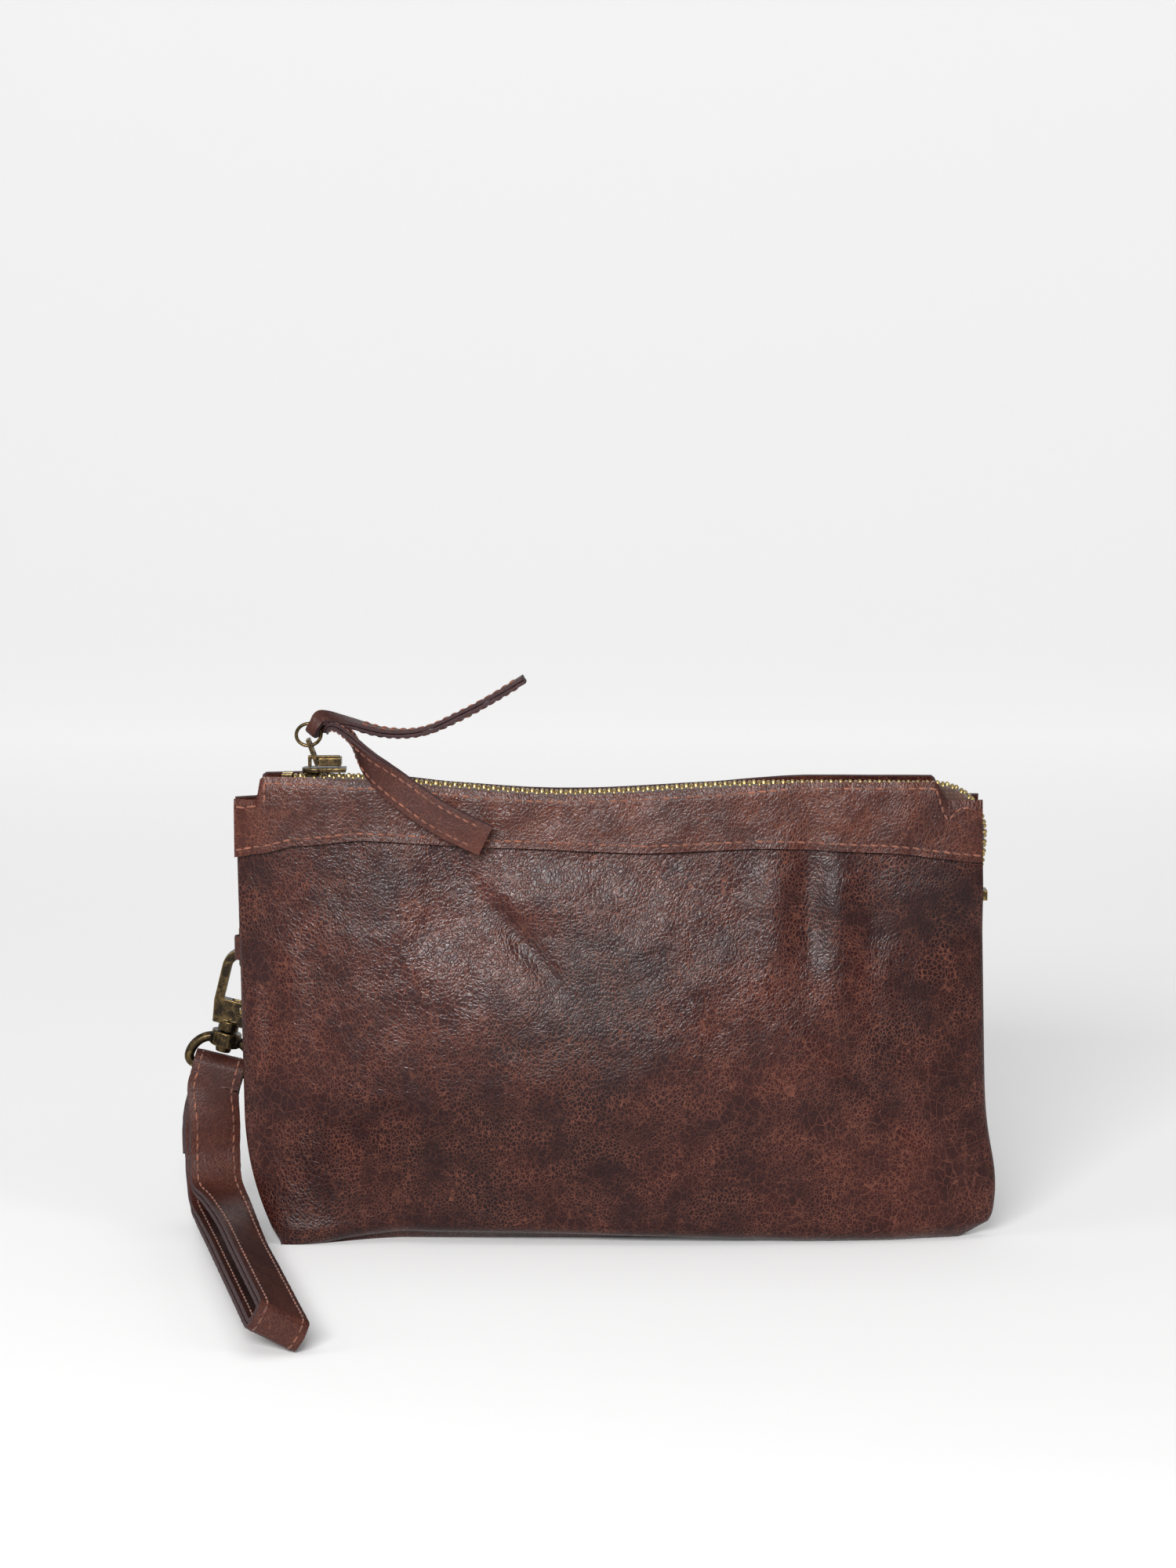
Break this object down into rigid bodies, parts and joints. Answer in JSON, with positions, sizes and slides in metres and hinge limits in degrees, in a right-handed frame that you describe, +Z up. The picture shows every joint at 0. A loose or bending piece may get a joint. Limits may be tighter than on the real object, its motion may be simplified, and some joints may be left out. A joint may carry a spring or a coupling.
{
  "type": "zippered pouch",
  "caption": "Flat leather pouch with a metal zip round its top corner, a leather zip pull and a strap loop on a swivel snap hook.",
  "frame": {"origin": "middle of the flat underside of the base, half way between the side seams", "axes": "+X along the zip to the right as seen from the front, +Z up, -Y out of the front panel"},
  "size_m": [0.2418, 0.1427, 0.1686],
  "materials": {
    "panel_leather": "pebbled brown leather, waxed, worn lighter along creases",
    "band_leather": "same leather, raw cut lower edge, rust thread",
    "strap_leather": "double layer stitched leather with dark cut edges",
    "lining": "plain cotton lining",
    "zip_tape": "brown woven zip tape",
    "tooth_brass": "aged brass teeth",
    "antique_brass": "dark antique brass, rubbed bright on the rims",
    "spring_steel": "plain spring steel"
  },
  "bodies": {
    "pouch": {"back_panel": "panel_leather", "back_lining": "lining", "back_band": "band_leather", "zip_teeth_rear": "tooth_brass", "zip_tape_rear": "zip_tape", "top_stop_rear": "tooth_brass", "bottom_stop": "tooth_brass", "d_ring_tab": "strap_leather"},
    "front_wall": {"front_panel": "panel_leather", "front_lining": "lining", "front_band": "band_leather", "zip_teeth_front": "tooth_brass", "zip_tape_front": "zip_tape", "top_stop_front": "tooth_brass"},
    "slider": {"slider_body": "antique_brass", "slider_bridge": "antique_brass"},
    "zip_pull": {"pull_tab": "antique_brass"},
    "ring": {"pull_ring": "antique_brass"},
    "thong": {"pull_thong": "strap_leather"},
    "d_ring": {"d_ring": "antique_brass"},
    "snap_hook": {"hook_body": "antique_brass", "gate_pin": "antique_brass", "gate_spring": "spring_steel", "swivel_post": "antique_brass"},
    "gate": {"hook_gate": "antique_brass"},
    "eye": {"swivel_eye": "antique_brass"},
    "wrist_strap": {"strap_outer": "strap_leather", "strap_inner": "strap_leather"}
  },
  "joints": [
    {"name": "zip_slide", "type": "slide", "parent": "pouch", "child": "slider", "axis": [1, 0, 0], "range_m": [0, 0.166]},
    {"name": "mouth_open", "type": "hinge", "parent": "pouch", "child": "front_wall", "pos_m": [0, -0.013, 0.0017], "axis": [1, 0, 0], "range_deg": [0, 11], "deforming": ["pull_thong"]},
    {"name": "pull_fold", "type": "hinge", "parent": "slider", "child": "zip_pull", "pos_m": [-0.08708, 0, 0.14325], "axis": [0, 1, 0], "range_deg": [-15, 10]},
    {"name": "ring_swing", "type": "hinge", "parent": "zip_pull", "child": "ring", "pos_m": [-0.08898, 0, 0.14847], "axis": [0.9848, 0.1, 0.142], "range_deg": [-25, 5]},
    {"name": "thong_swing", "type": "hinge", "parent": "ring", "child": "thong", "pos_m": [-0.08717, 0.00362, 0.15363], "axis": [-0.7431, 0.384, 0.5481], "range_deg": [-20, 20]},
    {"name": "d_ring_swing", "type": "hinge", "parent": "pouch", "child": "d_ring", "pos_m": [-0.11037, 0.0059, 0.08701], "axis": [0, 0, 1], "range_deg": [-15, 15]},
    {"name": "hook_swing", "type": "hinge", "parent": "d_ring", "child": "snap_hook", "pos_m": [-0.11037, 0.0109, 0.08151], "axis": [0, 1, 0], "range_deg": [0, 60]},
    {"name": "gate_open", "type": "hinge", "parent": "snap_hook", "child": "gate", "pos_m": [-0.11075, 0.0109, 0.06677], "axis": [0, 1, 0], "range_deg": [-18, 0], "stiffness_Nm_per_rad": 0.01, "springref_deg": 17.19},
    {"name": "swivel_spin", "type": "hinge", "parent": "snap_hook", "child": "eye", "pos_m": [-0.11618, 0.0109, 0.05823], "axis": [0.2419, 0, 0.9703], "range_deg": [-150, 10]},
    {"name": "strap_swing", "type": "hinge", "parent": "eye", "child": "wrist_strap", "pos_m": [-0.1185, 0.0109, 0.04891], "axis": [0.9703, 0, -0.2419], "range_deg": [-60, 0]}
  ],
  "couplings": [
    {"joint": "mouth_open", "follows": "zip_slide", "rad_per_m": 1.15}
  ]
}
